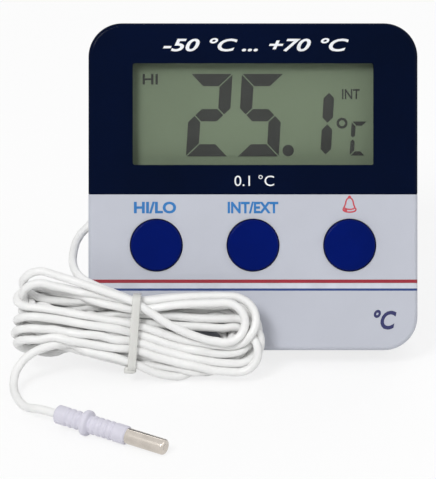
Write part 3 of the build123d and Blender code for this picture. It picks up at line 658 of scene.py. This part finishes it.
sleeve_ends = reach("probe_sleeve", probe_direction)
sleeve_plastic = surface(
    "sleeve_plastic", (215, 213, 225), worn=0.97, gloss=0.5, mottle=120.0, grain=1100.0, height=0.04,
)
sleeve_mesh = grown_mesh(make_rib_tree(), {
    "Length": sleeve_ends[1] - sleeve_ends[0],
    "Radius": 2.2 * MM,
    "Pitch": 1.5 * MM,
    "Depth": 0.3 * MM,
    "Band": 2.6 * MM,
    "Collar At": 8.1 * MM,
    "Collar Half": 0.95 * MM,
    "Collar Height": 0.8 * MM,
    "End Round": 0.5 * MM,
    "Finish": sleeve_plastic,
})
sleeve_mesh.shade_smooth()
sleeve_mesh.set_sharp_from_angle(angle=radians(50.0))
sleeve_mesh.transform(along_probe(sleeve_ends[0]))
probe_sleeve = add_piece("ribbed_sleeve", sleeve_mesh, sleeve_plastic)
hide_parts("probe_sleeve")


# ---------------------------------------------------------------- probe tip
# A drawn brass cap plated with nickel, pressed into the sleeve. Its end has a rolled rim round a
# shallow dimple, and drawing has left it with a shine that runs one way.
tip_ends = reach("probe_tip", probe_direction)
tip_radius = 1.85
tip_round = 0.6
tip_steps = 5
tip_sides = 48
rim_inside = 0.95
rim_drop = 0.02
wall_inside = 0.75
wall_depth = 0.18
dimple_floor = 0.4
dimple_depth = 0.3
pole_radius = 0.05
tip_length = (tip_ends[1] - tip_ends[0]) / MM
tip_profile = [(tip_radius, 0.0), (tip_radius, tip_length - tip_round)]
for step in range(1, tip_steps + 1):
    turn = pi / 2 * step / tip_steps
    round_in, round_up = tip_round * (1 - cos(turn)), tip_round * (1 - sin(turn))
    tip_profile.append((tip_radius - round_in, tip_length - round_up))
tip_profile += [
    (rim_inside, tip_length - rim_drop),
    (wall_inside, tip_length - wall_depth),
    (dimple_floor, tip_length - dimple_depth),
    (pole_radius, tip_length - dimple_depth),
]
tip_turns = [2 * pi * side / tip_sides for side in range(tip_sides)]
tip_rings = [
    [Vector((radius * cos(turn), radius * sin(turn), up)) * MM for turn in tip_turns]
    for radius, up in tip_profile
]
tip_mesh = skin("nickel_cap", tip_rings, closed=False)
tip_mesh.transform(along_probe(tip_ends[0]))
nickel = surface(
    "nickel_tip", (208, 200, 191), worn=0.93, gloss=0.17, unevenness=0.12, mottle=300.0, grain=700.0,
    height=0.02, Metallic=1.0, Anisotropic=0.3,
)
probe_tip = add_piece("nickel_cap", tip_mesh, nickel)
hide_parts("probe_tip")


# ---------------------------------------------------------------- table and lamps
# A white table under a soft lamp on the upper left, a weaker one on the right and a pale room whose
# light falls off towards the horizon. The camera, shiny pieces and clear ones see both as white.
def white_to_camera(tree, shader_output, share):
    """Mix white light into what the camera, mirrors and clear pieces see."""
    glow = add_node(tree, "ShaderNodeEmission", Strength=1.0)
    rays = add_node(tree, "ShaderNodeLightPath")
    mirrored = add_node(tree, "ShaderNodeMath", operation="MAXIMUM")
    seen = add_node(tree, "ShaderNodeMath", operation="MAXIMUM")
    part = add_node(tree, "ShaderNodeMath", operation="MULTIPLY")
    part.inputs[1].default_value = share
    mix = add_node(tree, "ShaderNodeMixShader")
    link = tree.links.new
    link(rays.outputs["Is Camera Ray"], mirrored.inputs[0])
    link(rays.outputs["Is Glossy Ray"], mirrored.inputs[1])
    link(mirrored.outputs[0], seen.inputs[0])
    link(rays.outputs["Is Transmission Ray"], seen.inputs[1])
    link(seen.outputs[0], part.inputs[0])
    link(part.outputs[0], mix.inputs["Fac"])
    link(shader_output, mix.inputs[1])
    link(glow.outputs["Emission"], mix.inputs[2])
    return mix.outputs["Shader"]


table_half = 3.0
table_glow = 0.8
room_glow = 1.0
lamp_aim = Vector((0.0, 0.0, 0.03))
table_white = surface("table_white", (247, 247, 247), worn=0.995, gloss=0.85, mottle=3.0, height=0.0)
table_tree = table_white.node_tree
table_shader = table_tree.nodes["Principled BSDF"].outputs["BSDF"]
table_output = white_to_camera(table_tree, table_shader, table_glow)
table_tree.links.new(table_output, table_tree.nodes["Material Output"].inputs["Surface"])
table_mesh = bpy.data.meshes.new("table")
table_corners = [
    (x * table_half, y * table_half, 0.0) for x, y in ((-1, -1), (1, -1), (1, 1), (-1, 1))
]
table_mesh.from_pydata(table_corners, [], [(0, 1, 2, 3)])
table_mesh.materials.append(table_white)
table = bpy.data.objects.new("table", table_mesh)
bpy.context.scene.collection.objects.link(table)


def add_lamp(name, place, size, power):
    """A square lamp that faces the middle of the object."""
    light = bpy.data.lights.new(name, "AREA")
    light.size = size
    light.energy = power
    lamp = bpy.data.objects.new(name, light)
    lamp.location = place
    lamp.rotation_euler = (lamp_aim - Vector(place)).to_track_quat("-Z", "Y").to_euler()
    bpy.context.scene.collection.objects.link(lamp)


add_lamp("key", (-0.45, -0.80, 0.82), 0.35, 7.6)
add_lamp("fill", (0.9, -0.5, 0.6), 0.9, 2.2)
add_lamp("back", (0.3, 0.9, 0.7), 0.8, 3.0)

world = bpy.data.worlds.new("room")
world.use_nodes = True
world_tree = world.node_tree
world_tree.nodes["Background"].inputs["Color"].default_value = (1.0, 1.0, 1.0, 1.0)
direction = add_node(world_tree, "ShaderNodeTexCoord")
height_of = add_node(world_tree, "ShaderNodeSeparateXYZ")
falloff = add_node(
    world_tree, "ShaderNodeMapRange", **{"From Min": 0.35, "To Min": 0.16, "To Max": 0.75},
)
world_tree.links.new(direction.outputs["Generated"], height_of.inputs["Vector"])
world_tree.links.new(height_of.outputs["Z"], falloff.inputs["Value"])
world_tree.links.new(falloff.outputs["Result"], world_tree.nodes["Background"].inputs["Strength"])
world_shader = world_tree.nodes["Background"].outputs["Background"]
world_output = white_to_camera(world_tree, world_shader, room_glow)
world_tree.links.new(world_output, world_tree.nodes["World Output"].inputs["Surface"])
bpy.context.scene.world = world
bpy.context.scene.view_settings.view_transform = "Standard"


# ---------------------------------------------------------------- housing shells
# Two halves moulded in pale grey plastic with a fine spark-eroded texture, screwed together from the
# back. The rear leg and the battery door are moulded in the same plastic.
def dress(material, *names):
    """Give CAD nodes their finish."""
    for name in names:
        nodes[name].data.materials.clear()
        nodes[name].data.materials.append(material)


pale_plastic = surface(
    "pale_plastic", (190, 193, 203), worn=0.985, gloss=0.46, grain=1400.0, height=0.05,
    Specular_IOR_Level=0.25,
)
dress(pale_plastic, "front_shell", "rear_shell", "stand_leg", "battery_door")


# ---------------------------------------------------------------- printing on the face
# Pad-printed ink a few hundredths of a millimetre thick: a red and a blue line with a pale band
# between them that run over both rounded side edges, legends over two buttons, a bell over the
# third and a unit mark in the corner.
print_lift = 0.03
edge_radius = 1.0
edge_wrap = radians(65.0)
stripe_points = 640
face_half = nodes["front_shell"].dimensions.x / MM / 2


def make_stripe_tree():
    """A strip laid across the face that bends down over the rounded edge at each end."""
    tree, given, reckon = growing_tree(
        "printed_stripe", ("Width", "Rise", "Flat Half", "Edge Radius", "Wrap", "Lift"),
    )
    strip = add_node(
        tree, "GeometryNodeMeshGrid", **{"Vertices X": stripe_points, "Vertices Y": 2},
    )
    bend_radius = reckon("ADD", given["Edge Radius"], given["Lift"])
    bend_length = reckon("MULTIPLY", bend_radius, given["Wrap"])
    length = reckon("MULTIPLY", reckon("ADD", given["Flat Half"], bend_length), 2.0)
    tree.links.new(length, strip.inputs["Size X"])
    tree.links.new(given["Width"], strip.inputs["Size Y"])
    place = point_place(tree)
    along = reckon("ABSOLUTE", place["X"])
    past_flat = reckon("MAXIMUM", reckon("SUBTRACT", along, given["Flat Half"]), 0.0)
    angle = reckon("DIVIDE", past_flat, bend_radius)
    flat_part = reckon("MINIMUM", along, given["Flat Half"])
    outwards = reckon("ADD", flat_part, reckon("MULTIPLY", bend_radius, reckon("SINE", angle)))
    fall = reckon("MULTIPLY", bend_radius, reckon("SUBTRACT", reckon("COSINE", angle), 1.0))
    x = reckon("MULTIPLY", outwards, reckon("SIGN", place["X"]))
    y = reckon("ADD", place["Y"], given["Rise"])
    z = reckon("ADD", fall, given["Lift"])
    finish_tree(tree, strip.outputs["Mesh"], (x, y, z), given["Finish"])
    return tree


def ink(name, colour):
    """Printing ink: even, a little glossier than the plastic."""
    return surface(name, colour, worn=0.94, gloss=0.42, unevenness=0.1, mottle=220.0, grain=1800.0)


stripe_tree = make_stripe_tree()
red_ink = ink("red_ink", (148, 6, 36))
blue_ink = ink("blue_ink", (12, 54, 122))
pale_ink = ink("pale_ink", (208, 212, 222))
for name, material, low, high in [
    ("red_line", red_ink, 15.95, 16.75),
    ("pale_band", pale_ink, 14.66, 15.87),
    ("blue_line", blue_ink, 14.12, 14.64),
]:
    stripe = grown_mesh(stripe_tree, {
        "Width": (high - low) * MM,
        "Rise": (high + low) / 2 * MM,
        "Flat Half": (face_half - edge_radius) * MM,
        "Edge Radius": edge_radius * MM,
        "Wrap": edge_wrap,
        "Lift": print_lift * MM,
        "Finish": material,
    })
    stripe.transform(face)
    add_piece(name, stripe, material)


def print_words(
    name, words, box, material, lift=print_lift, slant=0.0, weight=0.0, onto=face,
):
    """Flat letters that fill a box, given as left, right, low and high in a face's millimetres."""
    text = bpy.data.curves.new("letters", "FONT")
    text.body = words
    text.offset = weight
    text.shear = slant
    text.resolution_u = 4
    mesh = plain_mesh(bpy.data.objects.new("letters", text))
    left, right, low, high = box
    xs = [vertex.co.x for vertex in mesh.vertices]
    ys = [vertex.co.y for vertex in mesh.vertices]
    x_scale = (right - left) / (max(xs) - min(xs))
    y_scale = (high - low) / (max(ys) - min(ys))
    for vertex in mesh.vertices:
        x = left + (vertex.co.x - min(xs)) * x_scale
        y = low + (vertex.co.y - min(ys)) * y_scale
        vertex.co = (x * MM, y * MM, lift * MM)
    mesh.transform(onto)
    add_piece(name, mesh, material)


legend_blue = ink("legend_blue", (22, 112, 180))
for name, words, left, right in [
    ("left_legend", "HI/LO", -28.2, -18.2),
    ("middle_legend", "INT/EXT", -6.0, 6.0),
]:
    print_words(name, words, (left, right, 32.4, 35.2), legend_blue, weight=0.036)

bell_x = 22.85
bell_base = 33.0
bell_strokes = [
    [(-1.35, 0.75), (-0.95, 1.5), (-0.85, 2.4), (-0.45, 3.0), (0.0, 3.15), (0.45, 3.0), (0.85, 2.4),
     (0.95, 1.5), (1.35, 0.75), (0.7, 0.42), (0.0, 0.35), (-0.7, 0.42), (-1.35, 0.75)],
    [(-1.35, 0.75), (-1.6, 0.35), (-1.3, -0.1), (0.0, -0.35), (1.3, -0.1), (1.6, 0.35), (1.35, 0.75)],
    [(-0.25, 3.1), (-0.2, 3.5), (0.2, 3.5), (0.25, 3.1)],
    [(-1.45, 0.2), (-0.95, 0.3), (-0.55, 0.0), (-0.9, -0.25)],
]
bell_line = 0.17
bell_curve = bpy.data.curves.new("bell", "CURVE")
bell_curve.dimensions = "3D"
bell_curve.bevel_depth = bell_line * MM
bell_curve.bevel_resolution = 1
bell_curve.resolution_u = 4
for stroke in bell_strokes:
    line = bell_curve.splines.new("NURBS")
    line.points.add(len(stroke) - 1)
    for point, (x, up) in zip(line.points, stroke):
        point.co = ((bell_x + x) * MM, (bell_base + up) * MM, 0.0, 1.0)
    line.order_u = 3
    line.use_endpoint_u = True
bell_mesh = plain_mesh(bpy.data.objects.new("bell", bell_curve))
bell_mesh.transform(face @ Matrix.Scale(print_lift / bell_line, 4, (0.0, 0.0, 1.0)))
add_piece("alarm_bell", bell_mesh, ink("bell_red", (205, 70, 82)))

mark_navy = ink("mark_navy", (28, 30, 88))
print_words(
    "unit_mark", "°C", (28.6, 34.0, 4.9, 9.6), mark_navy, slant=0.25, weight=0.03,
)


# ---------------------------------------------------------------- display plate
# A clear acrylic plate with deep navy printed on its back, set flush over the upper front. White
# figures printed on it give the range and the step of the display.
navy_plate = surface(
    "navy_plate", (2, 13, 42), worn=0.8, gloss=0.13, unevenness=0.05, mottle=18.0, height=0.004,
    Specular_IOR_Level=0.03,
)
dress(navy_plate, "display_panel")
white_ink = ink("white_ink", (236, 238, 242))
for name, words, box, slant, weight in [
    ("range_figures", "-50 °C ... +70 °C", (-21.3, 22.7, 70.75, 73.95), 0.3, 0.02),
    ("step_figures", "0.1 °C", (-4.4, 5.0, 38.9, 41.5), 0.0, 0.0),
]:
    print_words(name, words, box, white_ink, slant=slant, weight=weight)


# ---------------------------------------------------------------- display
# A clear window over a liquid-crystal glass. The dark figures lie in the glass, and a grey-green
# reflector is stuck to its back. The edges of the plate throw a soft shadow onto it.
def clear_sheet(name, colour, opacity, gloss):
    """A clear sheet that mostly shows what lies behind it."""
    material = surface(name, colour, worn=0.97, gloss=gloss, unevenness=0.03, mottle=30.0, height=0.0)
    material.node_tree.nodes["Principled BSDF"].inputs["Alpha"].default_value = opacity
    return material


figure_black = surface("display_figures", (14, 16, 15), worn=0.9, gloss=0.5, mottle=100.0)
dress(clear_sheet("clear_window", (60, 70, 62), 0.03, 0.06), "display_window")
dress(clear_sheet("display_glass", (92, 104, 84), 0.05, 0.3), "display_glass")
display_back = surface(
    "display_back", (125, 139, 116), worn=0.95, gloss=0.55, mottle=28.0, Specular_IOR_Level=0.1,
)
dress(display_back, "display_backing")
dress(figure_black, "display_segments")
ink_lift = (face_depth - reach("display_segments", inward)[0]) / MM
for name, words, box in [
    ("high_sign", "HI", (-26.2, -22.6, 63.1, 65.6)),
    ("inside_sign", "INT", (21.2, 25.4, 59.6, 62.0)),
]:
    print_words(name, words, box, figure_black, lift=ink_lift, weight=0.015)
grey_foam = surface("grey_foam", (70, 72, 74), worn=0.7, gloss=0.9, mottle=500.0, height=0.6)
dress(grey_foam, "display_foam")
dress(surface("zebra_rubber", (190, 150, 140), worn=0.5, gloss=0.6, mottle=900.0), "zebra_strip")


# ---------------------------------------------------------------- buttons
# Three round caps moulded in glossy deep blue, each with a flange that keeps it behind the face and
# a white pin of its push switch behind it.
button_blue = surface(
    "button_blue", (0, 20, 100), worn=0.9, gloss=0.2, unevenness=0.06, height=0.012,
    Specular_IOR_Level=0.04,
)
switch_black = surface("switch_black", (26, 26, 28), worn=0.8, gloss=0.5)
pin_white = surface("switch_pin", (225, 224, 218), worn=0.95, gloss=0.45)
for side in ("left", "middle", "right"):
    dress(button_blue, "button_" + side)
    dress(pin_white, "plunger_" + side)
    dress(switch_black, "switch_" + side)


# ---------------------------------------------------------------- back of the housing
# Small marks in pale ink beside the unit slider tell its two positions apart. Zinc-plated screws
# close the housing, a steel pin carries the leg, and a rubber gland holds the cord.
mark_height = 0.05
back_face = Matrix((-across, upward, inward)).transposed().to_4x4()
back_face.translation = inward * reach("rear_shell", inward)[1] + upward * lower_edge
for name, words, left, right in [
    ("celsius_mark", "°C", -20.2, -17.2),
    ("fahrenheit_mark", "°F", -28.9, -26.1),
]:
    print_words(
        name, words, (left, right, 38.2, 40.6), pale_ink,
        lift=mark_height, weight=0.02, onto=back_face,
    )
bright_steel = surface(
    "bright_steel", (196, 198, 202), worn=0.85, gloss=0.28, unevenness=0.15, mottle=400.0,
    Metallic=1.0,
)
dress(bright_steel, "case_screws", "board_screws", "stand_pin", "battery_spring", "battery_plate")
dress(surface("slider_plastic", (60, 62, 66), worn=0.85, gloss=0.5, height=0.04), "unit_slider")
dress(surface("gland_rubber", (222, 222, 219), worn=0.95, gloss=0.55, height=0.05), "cord_gland")


# ---------------------------------------------------------------- electronics
# A glass-fibre board under green lacquer carries a chip under a blob of black resin, ceramic parts,
# the clock crystal, the buzzer, the room sensor and the leads of one small cell.
board_green = surface("board_green", (24, 92, 58), worn=0.75, gloss=0.35, mottle=240.0, grain=2200.0)
dress(board_green, "circuit_board")
dress(surface("chip_resin", (22, 22, 24), worn=0.8, gloss=0.3), "chip_blob")
dress(surface("black_plastic", (30, 30, 32), worn=0.85, gloss=0.5), "piezo_buzzer", "unit_switch")
dress(surface("chip_ceramic", (196, 186, 160), worn=0.75, gloss=0.5, mottle=700.0), "board_parts")
dress(surface("crystal_can", (205, 205, 208), worn=0.9, gloss=0.25, Metallic=1.0), "crystal")
dress(surface("sensor_resin", (36, 34, 34), worn=0.85, gloss=0.3), "room_sensor", "probe_bead")
dress(surface("cell_jacket", (44, 66, 110), worn=0.9, gloss=0.3, mottle=80.0), "battery")
dress(surface("tinned_wire", (205, 205, 205), worn=0.85, gloss=0.35, Metallic=1.0), "battery_leads")
